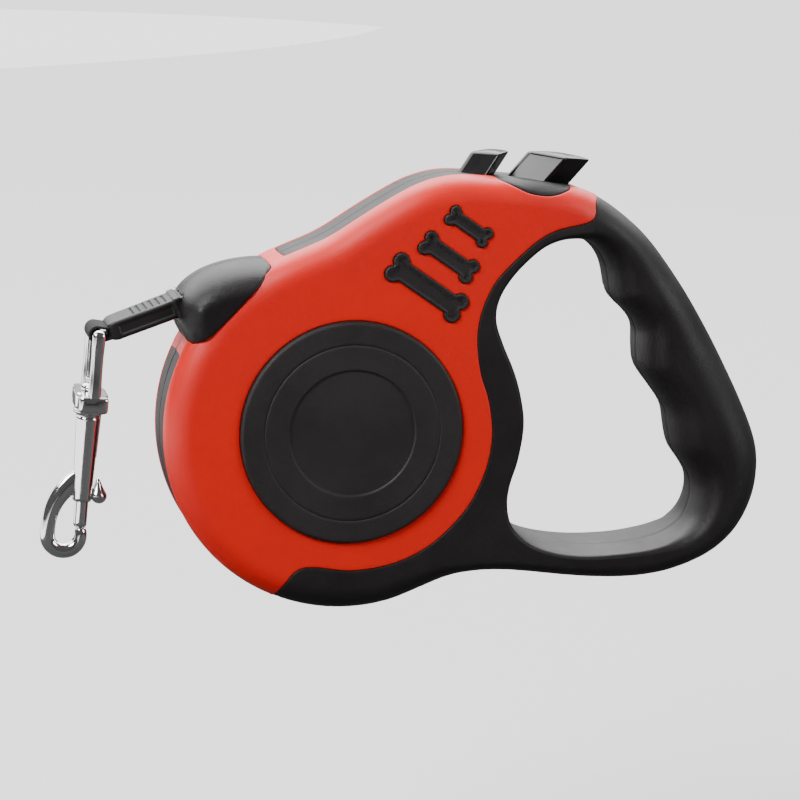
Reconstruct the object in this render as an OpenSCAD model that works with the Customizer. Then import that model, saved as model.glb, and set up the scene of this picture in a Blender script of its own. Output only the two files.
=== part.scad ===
// Retractable dog leash: a hand-held reel casing with a grip, a webbing tape on a sprung reel,
// a brake with a lock, and a swivelling bolt snap at the end of the tape.
// +X runs from the nozzle to the grip, +Z is up, and Y is the thickness. The left side is -Y.
// Every sub-part is drawn about the reel axis and then moved so that the grip centre is the origin.

/* [Casing] */
// Outer radius of the round reel casing
casing_r = 51; // [50.5:0.1:51.5]
// Half of the thickness over the coloured side panels
face_y = 15; // [14.8:0.1:15.4]
// Half of the thickness of the grip
grip_y = 13.6; // [13.2:0.1:14]
// Thickness of the coloured side panels
panel_t = 1.8; // [1.6:0.1:2]
// Half of the width of the dark strip between the two panels
strip_y = 8; // [7.5:0.1:8.5]

/* [Side cap] */
// Radius of the round side cap
cap_r = 31; // [30:0.5:32]
// Radius of the fine ring line on the cap
cap_ring_r = 24.5; // [23:0.5:26]
// Radius of the sunk centre of the cap
cap_centre_r = 17.8; // [16:0.2:20]
// How far the cap stands out of the panel
cap_rise = 1.5; // [1.2:0.1:1.8]

/* [Reel and tape] */
// Radius of the full winding of tape
winding_r = 46.2; // [45.8:0.1:46.2]
// Radius of the hub that the tape is wound on
hub_r = 29.3; // [28:0.1:30]
// Width of the webbing tape
tape_w = 12; // [11:0.5:12.5]
// Thickness of the webbing tape
tape_t = 0.8; // [0.6:0.1:0.9]
// Number of ratchet teeth on the left flange of the reel
ratchet_teeth = 20; // [20:20:40]
// Slope of the tape below the horizontal where it leaves the nozzle
tape_slope = 18.9; // [18.5:0.1:19.3]

/* [Buttons] */
// Slope of the brake button's travel above the horizontal
brake_lean = 47; // [46:0.5:48]
// Half of the width of both buttons
button_y = 7; // [6.5:0.1:7.2]

/* [Snap hook] */
// Tilt of the hanging snap hook from the vertical
snap_tilt = 6; // [4:0.5:7]
// Outer radius of the snap's barrel at its upper end
barrel_r = 3.2; // [3.1:0.1:3.4]
// Radius of the snap's sliding bolt
bolt_r = 1.8; // [1.6:0.1:1.9]
// Radius of the snap's round hook stock
hook_stock_r = 1.75; // [1.65:0.05:1.8]

/* [Hidden] */

red = [0.86, 0.16, 0.12];
black = [0.13, 0.12, 0.12];
charcoal = [0.22, 0.21, 0.21];
steel = [0.75, 0.76, 0.78];

grip_centre = [102, 0, 6];
eps = 0.01;

// Walls and spaces inside the casing
wall = 2;
chamber_y = 9.6;
chamber_r = winding_r + 1.4;
deep_y = 11;
deep_r = chamber_r - 1.4;
cavity_y = 9.4;
drum_r = casing_r - panel_t;
panel_floor_y = face_y - panel_t;
// Each step of the rounded edge: from y, to y, and how far the outline is drawn in
edge_steps = [[0, chamber_y, 0], [chamber_y, 11.6, 1], [11.6, panel_floor_y, 2.2],
    [panel_floor_y, grip_y, 2.2]];
face_inset = 4.2;

// Reel
flange_r = winding_r + 0.8;
flange_in_y = tape_w / 2 + 0.5;
flange_out_y = 9;
right_flange_out_y = 8;
hub_wall = 1.6;
axle_r = 2.5;
running_gap = 0.05;
notch_depth = 3.6;
notch_w = 5.6;

// Tape: the line that its middle follows, seen from the left
tape_dir = [-cos(tape_slope), -sin(tape_slope)];
tape_up = [-sin(tape_slope), cos(tape_slope)];
tape_line_r = winding_r + 0.3 + tape_t / 2;
mouth_along = 30.5;
sleeve_h = 5.2;
sleeve_w = 14;
sleeve_len = 21.5;
sleeve_above_tape = 1;
collar_len = 2;
rib_count = 6;
rib_pitch = 1.85;

// Swivel and snap
loop_r = 1.7;
eye_stock_r = 1.4;
eye_half_w = 8.6;
post_r = 1.7;
loop_centre = [-67.7, 28.2];

// Screws: the two end at bosses under a panel or stand open on the right side
screw_places = [[16, 56.5], [41, -35.5], [88, -43.1], [109.5, -12], [77.5, 51.5]];
screw_shank_r = 1.4;
screw_head_r = 2.9;
screw_head_y = 8;
boss_r = 4;

// ---- curves ----

// A point at share t between p1 and p2 on a smooth curve that also passes p0 and p3
function curve_point(p0, p1, p2, p3, t) =
    0.5 * (2 * p1 + (p2 - p0) * t + (2 * p0 - 5 * p1 + 4 * p2 - p3) * t * t
    + (3 * p1 - p0 - 3 * p2 + p3) * t * t * t);

// A smooth closed outline through the points, with k stretches between neighbours
function smooth_loop(p, k = 2) = let (n = len(p))
    [for (i = [0 : n - 1]) for (j = [0 : k - 1])
        curve_point(p[(i + n - 1) % n], p[i], p[(i + 1) % n], p[(i + 2) % n], j / k)];

// A smooth open line through the points
function smooth_line(p, k = 2) = let (n = len(p))
    concat([for (i = [0 : n - 2]) for (j = [0 : k - 1])
        curve_point(p[max(i - 1, 0)], p[i], p[i + 1], p[min(i + 2, n - 1)], j / k)], [p[n - 1]]);

function unit(v) = v / norm(v);

// An outline that runs anticlockwise, drawn in by d
function drawn_in(p, d) = let (n = len(p))
    [for (i = [0 : n - 1]) let (t = unit(p[(i + 1) % n] - p[(i + n - 1) % n]))
        p[i] + d * [-t[1], t[0]]];

// An open line moved by d to its left
function moved_line(p, d) = let (n = len(p))
    [for (i = [0 : n - 1]) let (t = unit(p[min(i + 1, n - 1)] - p[max(i - 1, 0)]))
        p[i] + d * [-t[1], t[0]]];

// ---- outlines, seen from the left side, about the reel axis ----

// The grip and the top of the body, from the foot of the grip round to the nozzle
body_top = [
    [101.5, -44.5], [109.5, -41], [116, -35], [120.5, -26], [121.8, -17], [120.8, -9.5],
    [117.1, 0], [111.3, 12], [104.3, 25], [96.2, 38], [87.1, 50], [79, 57.2], [72, 61.8],
    [66, 64.5], [55, 66.8], [45, 68], [35, 69], [28, 69], [20, 67], [12, 63], [5, 59],
    [-5, 53], [-13, 49.8]
];
casing_arc = [for (a = [114 : 12 : 282]) casing_r * [cos(a), sin(a)]];
body_bottom = [[20, -46.7], [28, -43.8], [35, -42.8], [42, -42.8], [50, -43.7], [60, -45.3],
    [70, -46.7], [80, -47.5], [91, -47]];
body_outline = smooth_loop(concat(body_top, casing_arc, body_bottom));

// The side of the finger opening that lies along the casing, from the top to the bottom
opening_casing_side = [
    [61.5, 51], [55.5, 49.5], [50.5, 46], [45.5, 41], [42, 35.5], [40.9, 29.5], [43, 22.5],
    [46.3, 14.5], [48.4, 6.5], [49.1, -1], [47.5, -10.5], [45.2, -17.5], [44.5, -23.5],
    [46, -29.5], [50.5, -34]
];
// The fingers' side, with a ridge between each two fingers
opening_grip_side = [
    [57, -37], [66, -38.8], [76, -39.4], [86, -39], [94.5, -37], [100.3, -33],
    [102.8, -27.3], [102.8, -21.5], [100.5, -17], [97.7, -12], [95.7, -6], [94, 0], [90.4, 6],
    [87, 12], [85.7, 18], [84.8, 24], [82, 28.5], [78.7, 32.5], [77.2, 37], [76.2, 42],
    [73.5, 46.5], [68.5, 50]
];
opening_outline = smooth_loop(concat(opening_casing_side, opening_grip_side));

// Where the coloured panel ends against the dark body, from the buttons round to the bottom
panel_end = smooth_line([
    [69.3, 60.5], [67.6, 56.2], [58, 54], [52, 51], [46, 46], [41, 41], [38, 36], [36, 30.5],
    [35.2, 24], [36.2, 15], [38.6, 7], [39.6, -2], [38.4, -10.5], [35, -19], [30, -26],
    [22, -33], [12, -37.5], [0, -39], [-11, -37.4], [-16, -38.3], [-20.5, -43.5]
]);
// The scoop in the panel's upper edge beside the brake button
panel_scoop = [[42, 68.7], [46, 66], [50, 63.9], [55, 63], [59, 63.5], [62.5, 65.2]];
// Beside the nozzle the two panels meet at the seam, and the dark strip stops
seam_zones = [
    [[-34, 40], [-17, 40], [-17, 62], [-34, 62]],
    [[-62, 22], [-40, 22], [-40, 34], [-62, 34]]
];
panel_region = concat(panel_end, [[-24, -56], [-62, -56], [-62, 60], [0, 76], [40, 76]],
    smooth_line(panel_scoop), [[66, 72], [76, 68]]);

// The nozzle pods, from the tip on the upper edge round to the mouth and back
nozzle_outline = smooth_loop([
    [-20, 47], [-26, 47.6], [-32, 46.9], [-38, 44.9], [-42.5, 42], [-45.5, 38.5], [-46.2, 34],
    [-45, 28.5], [-42, 25.2], [-38.2, 26.8], [-33, 32], [-28, 37.5], [-24, 42.5]
]);

// Each bone: the middle, the length between the knobs, the shaft width and the knob radius
bones = [[[20.9, 39.3], 20.3, 4.2, 2.3], [[27, 47.5], 14.2, 3.4, 1.9], [[32.6, 55.7], 11, 2.8, 1.6]];
bone_slope = -35.5;
pod_centre = [-36, 38];

// ---- helpers ----

module in_grip_frame() translate(-grip_centre) children();
module mirrored_to_left() mirror([0, 1, 0]) children();

// Stands a flat shape up in the XZ plane, from y0 to y1
module slab(y0, y1) translate([0, y1, 0]) rotate([90, 0, 0]) linear_extrude(y1 - y0) children();

// A disc or ring about the Y axis
module disc(r, y0, y1, fn = 96) slab(y0, y1) circle(r, $fn = fn);
module ring(r_out, r_in, y0, y1, fn = 96) slab(y0, y1) difference() {
    circle(r_out, $fn = fn);
    circle(r_in, $fn = fn);
}

// Places a flat shape on the tape's line: x runs out of the nozzle and y is up off the tape
module on_tape() translate(tape_line_r * tape_up) rotate(180 + tape_slope) mirror([0, 1]) children();

// Places a flat shape in the brake's frame: y is up along the button's travel
brake_foot = [56, 66];
module on_brake() translate(brake_foot) rotate(brake_lean - 90) children();

// A round wire swept through points: sides is its number of sides
function swept_wire(path, r, sides) = let (n = len(path)) [
    for (i = [0 : n - 1]) let (
        t = unit(path[min(i + 1, n - 1)] - path[max(i - 1, 0)]),
        b = unit(cross(t, abs(t[2]) < 0.9 ? [0, 0, 1] : [1, 0, 0])),
        c = cross(t, b)
    ) for (j = [0 : sides - 1]) path[i] + r * (cos(j * 360 / sides) * b + sin(j * 360 / sides) * c)
];
module wire(path, r, sides = 6) {
    n = len(path);
    polyhedron(swept_wire(path, r, sides), concat(
        [[for (j = [0 : sides - 1]) j]],
        [for (i = [0 : n - 2]) for (j = [0 : sides - 1])
            [i * sides + j, (i + 1) * sides + j, (i + 1) * sides + (j + 1) % sides]],
        [for (i = [0 : n - 2]) for (j = [0 : sides - 1])
            [i * sides + j, (i + 1) * sides + (j + 1) % sides, i * sides + (j + 1) % sides]],
        [[for (j = [sides - 1 : -1 : 0]) (n - 1) * sides + j]]
    ));
}
// A compression coil of that height, standing on z = 0
module coil(r, wire_r, height, turns, steps = 12) wire(
    [for (i = [0 : turns * steps]) [r * cos(i * 360 / steps), r * sin(i * 360 / steps),
        wire_r + (height - 2 * wire_r) * i / (turns * steps)]], wire_r);

// ---- casing ----

module bone(b, grow = 0) translate(b[0]) rotate(bone_slope) {
    square([b[1], b[2] + 2 * grow], center = true);
    for (sx = [-1, 1]) for (sy = [-1, 1])
        translate([sx * b[1] / 2, sy * b[2] / 2]) circle(b[3] + grow, $fn = 24);
}
module bones_flat(grow = 0) for (b = bones) bone(b, grow);

// The whole outer shape of one half, on the +Y side
module half_solid() {
    for (s = edge_steps) slab(s[0], s[1]) difference() {
        polygon(drawn_in(body_outline, s[2]));
        polygon(drawn_in(opening_outline, -s[2]));
    }
    slab(grip_y, face_y) difference() {
        intersection() {
            polygon(drawn_in(body_outline, face_inset));
            translate([-60, -60]) square([122, 130]);
        }
        polygon(concat(moved_line(smooth_line(opening_casing_side), -face_inset),
            [[90, -60], [90, 70], [62, 70]]));
    }
}

// The space that the panel fills on one half: a skirt over the rim and a plate over the face
module panel_space() {
    for (s = concat(edge_steps, [[grip_y, face_y, face_inset]]))
        slab(max(s[0], strip_y), s[1]) difference() {
            intersection() {
                polygon(drawn_in(body_outline, s[2]));
                polygon(panel_region);
            }
            if (s[1] <= panel_floor_y) polygon(drawn_in(body_outline, s[2] + panel_t));
        }
    slab(0, strip_y) intersection() {
        difference() {
            polygon(body_outline);
            polygon(drawn_in(body_outline, panel_t));
        }
        for (zone = seam_zones) polygon(zone);
    }
}

// The nozzle pod's outer shape on one half
module pod_space() for (s = [[0, 8, 1], [8, 11, 0.94], [11, 13, 0.84]])
    slab(s[0], s[1]) translate(pod_centre) scale(s[2]) translate(-pod_centre) polygon(nozzle_outline);
// What the pods leave to the casing: the drum that holds the reel
module drum() {
    disc(drum_r + 0.1, -1, chamber_y, 120);
    disc(drum_r - 1, -1, 14, 120);
}

// The slot that the tape runs through, on both halves
module tape_slot() slab(-sleeve_w / 2 - 0.4, sleeve_w / 2 + 0.4) on_tape()
    translate([2, -1.8]) square([60, 3.6]);
// The mouth is a seat for the sleeve, with a wider step for its collar
module mouth_recess() {
    slab(-sleeve_w / 2 - 0.4, sleeve_w / 2 + 0.4) on_tape()
        translate([mouth_along - 2, sleeve_above_tape - sleeve_h / 2 - 0.4]) square([40, sleeve_h + 0.8]);
    slab(-sleeve_w / 2 - 1.1, sleeve_w / 2 + 1.1) on_tape()
        translate([mouth_along + 0.1, sleeve_above_tape - sleeve_h / 2 - 1]) square([40, sleeve_h + 2]);
}

// Windows in the deck for the two buttons
module button_windows() {
    slab(-button_y - 0.3, button_y + 0.3) on_brake()
        polygon([[-8.7, -10.5], [3.2, -10.5], [3.2, -8], [8, -8], [8, 32], [-8.7, 32]]);
    slab(-button_y - 0.3, button_y + 0.3) polygon([[26.5, 64], [44.6, 62], [50, 80], [32, 80]]);
}

module screw_bosses(y1) for (p = screw_places) translate([p[0], 0, p[1]]) disc(boss_r, 0, y1, 32);
module at_screws() for (p = screw_places) translate([p[0], 0, p[1]]) children();

// One half of the moulded casing with its half of the grip, on the +Y side, without its screw holes
module half_shell() difference() {
    half_solid();
    panel_space();
    difference() {
        pod_space();
        drum();
    }
    disc(chamber_r, -1, chamber_y, 120);
    disc(deep_r, -1, deep_y, 120);
    difference() {
        slab(-1, cavity_y) difference() {
            polygon(drawn_in(body_outline, 3.8));
            polygon(drawn_in(opening_outline, -2.6));
            circle(drum_r, $fn = 120);
        }
        screw_bosses(cavity_y + 1);
    }
    tape_slot();
    button_windows();
}

// The boss that carries the end of the axle
module axle_boss() difference() {
    disc(5.5, 9.4, deep_y + 0.5, 48);
    disc(axle_r, -1, deep_y, 48);
}
module half_with_boss() difference() {
    union() {
        half_shell();
        axle_boss();
    }
    disc(axle_r, -1, deep_y, 48);
}

module left_housing() color(black) in_grip_frame() mirrored_to_left() difference() {
    half_with_boss();
    at_screws() disc(screw_shank_r + 0.05, -1, 9.2, 32);
    // the pawl passes through the drum wall here
    slab(6.3, chamber_y) on_brake() translate([-3, -44]) square([6, 30]);
}

module right_housing() color(black) in_grip_frame() difference() {
    half_with_boss();
    at_screws() {
        disc(screw_shank_r + 0.2, -1, screw_head_y + 1, 32);
        disc(screw_head_r + 0.3, screw_head_y, 20, 32);
    }
}

module side_panel() difference() {
    panel_space();
    pod_space();
    disc(cap_r, panel_floor_y - 1, face_y + 1, 120);
    slab(panel_floor_y - 1, face_y + 1) bones_flat(0.1);
}
module left_panel() color(red) in_grip_frame() mirrored_to_left() side_panel();
module right_panel() color(red) in_grip_frame() side_panel();

module side_cap() rotate([-90, 0, 0]) rotate_extrude($fn = 120) polygon([
    [0, panel_floor_y], [cap_r, panel_floor_y], [cap_r, face_y + cap_rise - 1],
    [cap_r - 0.4, face_y + cap_rise - 0.3], [cap_r - 1, face_y + cap_rise],
    [cap_ring_r + 0.3, face_y + cap_rise], [cap_ring_r, face_y + cap_rise - 0.3],
    [cap_ring_r - 0.3, face_y + cap_rise], [cap_centre_r, face_y + cap_rise],
    [cap_centre_r - 0.5, face_y + cap_rise - 0.5], [0, face_y + cap_rise - 0.5]
]);
module left_cap() color(charcoal) in_grip_frame() mirrored_to_left() side_cap();
module right_cap() color(charcoal) in_grip_frame() side_cap();

module bone_inlays() slab(panel_floor_y, face_y + 0.9) bones_flat();
module left_bone_inlays() color(charcoal) in_grip_frame() mirrored_to_left() bone_inlays();
module right_bone_inlays() color(charcoal) in_grip_frame() bone_inlays();

module nozzle_pod() difference() {
    pod_space();
    drum();
    tape_slot();
    mouth_recess();
}
module left_nozzle() color(black) in_grip_frame() mirrored_to_left() nozzle_pod();
module right_nozzle() color(black) in_grip_frame() nozzle_pod();

module screw() difference() {
    union() {
        disc(screw_shank_r, -9, screw_head_y, 32);
        disc(screw_head_r, screw_head_y, screw_head_y + 2, 32);
    }
    for (a = [0, 90]) rotate([0, a, 0]) translate([-0.4, screw_head_y + 0.8, -1.8]) cube([0.8, 4, 3.6]);
}
module housing_screws() color(steel) in_grip_frame() at_screws() screw();

// ---- reel ----

module reel_axle() color(steel) in_grip_frame() disc(axle_r, -deep_y, deep_y, 48);

module ratchet_notches() for (i = [0 : ratchet_teeth - 1])
    rotate(brake_notch_angle + i * 360 / ratchet_teeth)
        translate([flange_r - notch_depth, -notch_w / 2]) square([10, notch_w]);
// Direction from the axis to the pawl's tip
brake_notch_angle = atan2(36.9, 29.2);

module reel() color(charcoal) in_grip_frame() difference() {
    union() {
        slab(-flange_out_y, -flange_in_y) difference() {
            circle(flange_r, $fn = 120);
            ratchet_notches();
        }
        ring(flange_r, hub_r - hub_wall, flange_in_y, right_flange_out_y, 120);
        ring(hub_r, hub_r - hub_wall, -flange_in_y - eps, flange_in_y + eps, 120);
        disc(6, -flange_out_y, 3, 48);
    }
    disc(axle_r + running_gap, -20, 20, 48);
    // lightening windows in the left flange
    for (i = [0 : 5]) slab(-20, -flange_in_y + eps) rotate(i * 60)
        translate([19, 0]) circle(5.5, $fn = 32);
}

module spring_cover() color(charcoal) in_grip_frame() difference() {
    disc(hub_r - hub_wall, flange_in_y, right_flange_out_y, 96);
    disc(axle_r + running_gap, 0, 20, 48);
}

// Flat spiral spring in the hub
spiral_turns = 9;
spiral_in_r = 8;
spiral_out_r = 25.5;
spiral_steps = 16;
spiral_t = 0.5;
function spiral(r0, r1) = [for (i = [0 : spiral_turns * spiral_steps])
    let (s = i / (spiral_turns * spiral_steps), a = 360 * spiral_turns * s)
    (r0 + (r1 - r0) * s) * [cos(a), sin(a)]];
module main_spring() color(steel) in_grip_frame() slab(-5.5, 5.5) polygon(concat(
    spiral(spiral_in_r, spiral_out_r),
    [for (i = [spiral_turns * spiral_steps : -1 : 0]) spiral(spiral_in_r - spiral_t, spiral_out_r - spiral_t)[i]]));

module tape_winding() color(black) in_grip_frame() ring(winding_r, hub_r, -tape_w / 2, tape_w / 2, 120);

// ---- tape, sleeve and loop ----

sleeve_end = mouth_along + sleeve_len;
module tape_strand() color(black) in_grip_frame() slab(-tape_w / 2, tape_w / 2) on_tape()
    translate([0, -tape_t / 2]) square([sleeve_end, tape_t]);

module end_sleeve() color(charcoal) in_grip_frame() difference() {
    union() {
        slab(-sleeve_w / 2, sleeve_w / 2) on_tape()
            translate([mouth_along, sleeve_above_tape - sleeve_h / 2]) square([sleeve_len, sleeve_h]);
        slab(-sleeve_w / 2 - 0.8, sleeve_w / 2 + 0.8) on_tape()
            translate([mouth_along + 0.4, sleeve_above_tape - sleeve_h / 2 - 0.7])
                square([collar_len, sleeve_h + 1.4]);
    }
    slab(-tape_w / 2, tape_w / 2) on_tape() translate([0, -tape_t / 2]) square([80, tape_t]);
    for (i = [0 : rib_count - 1]) slab(-sleeve_w / 2 + 2, sleeve_w / 2 - 2) on_tape()
        translate([mouth_along + 4 + i * rib_pitch, sleeve_above_tape + sleeve_h / 2 - 0.6]) square([0.7, 2]);
}

// The webbing goes round the eye's bar and back into the sleeve
loop_on_tape = [(loop_centre - tape_line_r * tape_up) * tape_dir,
    (loop_centre - tape_line_r * tape_up) * tape_up];
module tape_loop() color(black) in_grip_frame() slab(-tape_w / 2, tape_w / 2) difference() {
    union() {
        translate(loop_centre) circle(loop_r + tape_t, $fn = 48);
        on_tape() polygon([[sleeve_end, -tape_t / 2], [sleeve_end, tape_t / 2],
            loop_on_tape + [-0.5, loop_r + tape_t], loop_on_tape + [-0.5, -loop_r - tape_t]]);
    }
    translate(loop_centre) circle(loop_r, $fn = 48);
}

// ---- brake and lock ----

module brake_button() color(black) in_grip_frame() {
    slab(-button_y, button_y) on_brake()
        polygon([[-8.3, 3.9], [-8.3, -5.5], [7.6, -1], [7.6, 14], [6.9, 14.4], [-7.6, 4.6]]);
    slab(-5.5, 5.5) on_brake() translate([-6, -9]) square([8.7, 8]);
    slab(5.5, 7.2) on_brake() translate([-4, -11]) square([2.5, 1]);
    slab(3.5, 5.5) on_brake() translate([-4, -11]) square([2.5, 3]);
}

module brake_pawl() color(charcoal) in_grip_frame() {
    slab(-8.9, -6.6) on_brake() polygon([[-2.2, -13], [2.2, -13], [2.2, -37.6], [1.4, -38.5],
        [-1.4, -38.5], [-2.2, -37.6]]);
    slab(-8.9, 3) on_brake() translate([-4, -13]) square([6.2, 4]);
}

module brake_spring() color(steel) in_grip_frame() translate([brake_foot[0], -1, brake_foot[1]])
    rotate([0, 90 - brake_lean, 0]) translate([-1, 0, -24]) coil(2.4, 0.35, 10.9, 6);

module lock_button() color(black) in_grip_frame() {
    slab(-button_y, button_y) polygon([[32.6, 65.4], [43.2, 65], [44.4, 67.6], [48, 74],
        [47.4, 74.8], [37.6, 74.8], [36.8, 74.2], [33, 69]]);
    slab(5.9, button_y) polygon([[33, 61.5], [42.5, 59.6], [42.5, 66], [33, 66]]);
    slab(5.9, 8.9) polygon([[33, 61.5], [42.5, 59.6], [42.5, 62.8], [33, 64]]);
    slab(7.5, 8.9) polygon([[41, 59.9], [46.8, 56.3], [50.4, 57.8], [42, 62.8]]);
    slab(5.9, 8.9) on_brake() translate([-0.7, -11.6]) square([2.5, 1.1]);
}

// ---- swivel and snap: drawn hanging from the loop, with z = 0 at the eye's bar ----

module hanging() in_grip_frame() translate([loop_centre[0], 0, loop_centre[1]])
    rotate([0, snap_tilt, 0]) children();

yoke_top = -16.2;
yoke_h = 4.8;
yoke_w = 8.2;
stud_r = 1.7;
module swivel_eye() color(steel) hanging() difference() {
    union() {
        rotate([90, 0, 0]) cylinder(r = eye_stock_r, h = 2 * eye_half_w, center = true, $fn = 32);
        for (s = [-1, 1]) {
            translate([0, s * eye_half_w, 0]) sphere(post_r, $fn = 32);
            translate([0, s * eye_half_w, yoke_top]) cylinder(r = post_r, h = -yoke_top, $fn = 32);
        }
        translate([-yoke_w / 2, -eye_half_w - post_r, yoke_top - yoke_h])
            cube([yoke_w, 2 * (eye_half_w + post_r), yoke_h]);
    }
    translate([0, 0, yoke_top - 10]) cylinder(r = stud_r + running_gap, h = 20, $fn = 48);
}

barrel_top = yoke_top - yoke_h - 1.5;
barrel_len = 24.6;
barrel_foot_r = 2.5;
bolt_top = barrel_top - 12;
knob_z = barrel_top - 21.7;
knob_x = 4.9;
knob_r = 2.1;
bore_r = bolt_r + running_gap;
hook_drop = barrel_top - 24.5;
hook_x = -8.65;
hook_bend_r = 4.5;
hook_low = hook_drop - 10;

module bar_between(a, b, r) {
    d = b - a;
    translate(a) rotate([0, acos(d[2] / norm(d)), atan2(d[1], d[0])]) cylinder(r = r, h = norm(d), $fn = 32);
}

module snap_body() color(steel) hanging() difference() {
    union() {
        translate([0, 0, barrel_top - barrel_len])
            cylinder(r1 = barrel_foot_r, r2 = barrel_r, h = barrel_len, $fn = 48);
        translate([0, 0, barrel_top]) cylinder(r = 4.4, h = 1.3, $fn = 48);
        translate([0, 0, barrel_top]) cylinder(r = stud_r, h = 7, $fn = 48);
        translate([0, 0, yoke_top + 0.2]) cylinder(r = 2.8, h = 2, $fn = 48);
        // the hook: out of the barrel, down, round the bottom and up to the bolt's tip
        translate([hook_x + hook_bend_r, 0, hook_drop]) rotate([90, 0, 0]) rotate([0, 0, 90])
            rotate_extrude(angle = 90, $fn = 48) translate([hook_bend_r, 0]) circle(hook_stock_r, $fn = 24);
        bar_between([hook_x + hook_bend_r, 0, hook_drop + hook_bend_r],
            [-1, 0, hook_drop + hook_bend_r], hook_stock_r);
        bar_between([hook_x, 0, hook_low], [hook_x, 0, hook_drop], hook_stock_r);
        translate([hook_x + hook_bend_r, 0, hook_low]) rotate([90, 0, 0]) rotate([0, 0, 180])
            rotate_extrude(angle = 180, $fn = 48) translate([hook_bend_r, 0]) circle(hook_stock_r, $fn = 24);
        translate([hook_x + 2 * hook_bend_r, 0, hook_low]) cylinder(r = hook_stock_r, h = 2, $fn = 32);
    }
    translate([0, 0, barrel_top - barrel_len - 1]) cylinder(r = bore_r, h = barrel_len - 2, $fn = 48);
    translate([0, -1.3, knob_z - 1.3]) cube([10, 2.6, 11]);
}

module snap_bolt() color(steel) hanging() {
    translate([0, 0, hook_low + 2.6]) cylinder(r = bolt_r, h = bolt_top - hook_low - 2.6, $fn = 48);
    translate([0, 0, knob_z]) rotate([0, 90, 0]) cylinder(r = 1.1, h = knob_x, $fn = 32);
    translate([knob_x, 0, knob_z]) sphere(knob_r, $fn = 32);
}

module bolt_spring() color(steel) hanging() translate([0, 0, bolt_top + 0.1])
    coil(1.35, 0.3, 8.8, 7);

left_housing();
right_housing();
left_panel();
right_panel();
left_cap();
right_cap();
left_bone_inlays();
right_bone_inlays();
left_nozzle();
right_nozzle();
housing_screws();
reel_axle();
reel();
spring_cover();
main_spring();
tape_winding();
tape_strand();
end_sleeve();
tape_loop();
brake_button();
brake_pawl();
brake_spring();
lock_button();
swivel_eye();
snap_body();
snap_bolt();
bolt_spring();
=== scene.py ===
import math

import bmesh
import bpy
import numpy as np
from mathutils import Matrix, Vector, geometry, kdtree


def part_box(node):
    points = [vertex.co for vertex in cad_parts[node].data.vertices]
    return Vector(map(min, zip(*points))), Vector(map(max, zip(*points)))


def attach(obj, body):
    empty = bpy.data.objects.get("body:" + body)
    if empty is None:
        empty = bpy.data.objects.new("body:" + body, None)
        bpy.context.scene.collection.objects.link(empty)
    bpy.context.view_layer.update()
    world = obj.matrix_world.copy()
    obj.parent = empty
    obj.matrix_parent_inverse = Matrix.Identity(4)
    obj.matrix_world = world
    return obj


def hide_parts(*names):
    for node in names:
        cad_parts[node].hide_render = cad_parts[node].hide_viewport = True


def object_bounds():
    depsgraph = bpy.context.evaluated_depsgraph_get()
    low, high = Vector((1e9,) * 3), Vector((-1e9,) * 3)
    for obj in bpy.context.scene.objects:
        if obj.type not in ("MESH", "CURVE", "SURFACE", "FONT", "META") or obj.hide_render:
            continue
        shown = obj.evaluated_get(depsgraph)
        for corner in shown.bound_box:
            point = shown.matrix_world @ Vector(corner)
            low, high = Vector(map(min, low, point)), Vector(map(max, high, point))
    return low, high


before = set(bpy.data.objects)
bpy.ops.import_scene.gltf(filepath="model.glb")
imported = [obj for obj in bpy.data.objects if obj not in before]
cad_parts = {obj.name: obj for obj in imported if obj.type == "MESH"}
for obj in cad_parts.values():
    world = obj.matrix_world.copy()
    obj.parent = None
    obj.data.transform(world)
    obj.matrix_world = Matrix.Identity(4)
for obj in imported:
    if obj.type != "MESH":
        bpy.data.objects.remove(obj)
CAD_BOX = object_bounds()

# Every outline below is in millimetres about the reel axis: x towards the grip, z up.
# row(x, y, z) turns such a point into the row frame, in metres.
AXLE = [(a + b) / 2 for a, b in zip(*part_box("reel_axle"))]


def row(x, y, z):
    return (AXLE[0] + x * 0.001, AXLE[1] + y * 0.001, AXLE[2] + z * 0.001)


# ---- curves ----


def spline(points, closed=True, step=0.25):
    """A smooth line through the points, with a point at every step."""
    p = np.array(points, float)
    n = len(p)
    at = (lambda i: i % n) if closed else (lambda i: min(max(i, 0), n - 1))
    out = []
    for i in range(n if closed else n - 1):
        p0, p1, p2, p3 = p[at(i - 1)], p[at(i)], p[at(i + 1)], p[at(i + 2)]
        t = np.linspace(0, 1, 30, endpoint=False)[:, None]
        out.append(0.5 * (2 * p1 + (p2 - p0) * t + (2 * p0 - 5 * p1 + 4 * p2 - p3) * t**2
                          + (3 * p1 - p0 - 3 * p2 + p3) * t**3))
    if not closed:
        out.append(p[-1:])
    return even(np.concatenate(out), step, closed)


def even(line, step, closed=True):
    """The line with its points evenly spaced."""
    p = np.vstack([line, line[:1]]) if closed else line
    s = np.concatenate([[0], np.cumsum(np.linalg.norm(np.diff(p, axis=0), axis=1))])
    n = max(int(round(s[-1] / step)), 3)
    t = np.linspace(0, s[-1], n, endpoint=False) if closed else np.linspace(0, s[-1], n + 1)
    return np.column_stack([np.interp(t, s, p[:, 0]), np.interp(t, s, p[:, 1])])


def softened(values, sigma, closed=True):
    """Values along a line, evened out over sigma points."""
    k = int(3 * sigma) + 1
    w = np.exp(-0.5 * (np.arange(-k, k + 1) / sigma) ** 2)
    w /= w.sum()
    v = np.asarray(values, float)
    parts = [v[-k:], v, v[:k]] if closed else [np.repeat(v[:1], k, 0), v, np.repeat(v[-1:], k, 0)]
    wide = np.concatenate(parts)
    if v.ndim == 1:
        return np.convolve(wide, w, "valid")
    return np.column_stack([np.convolve(wide[:, j], w, "valid") for j in range(v.shape[1])])


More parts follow.
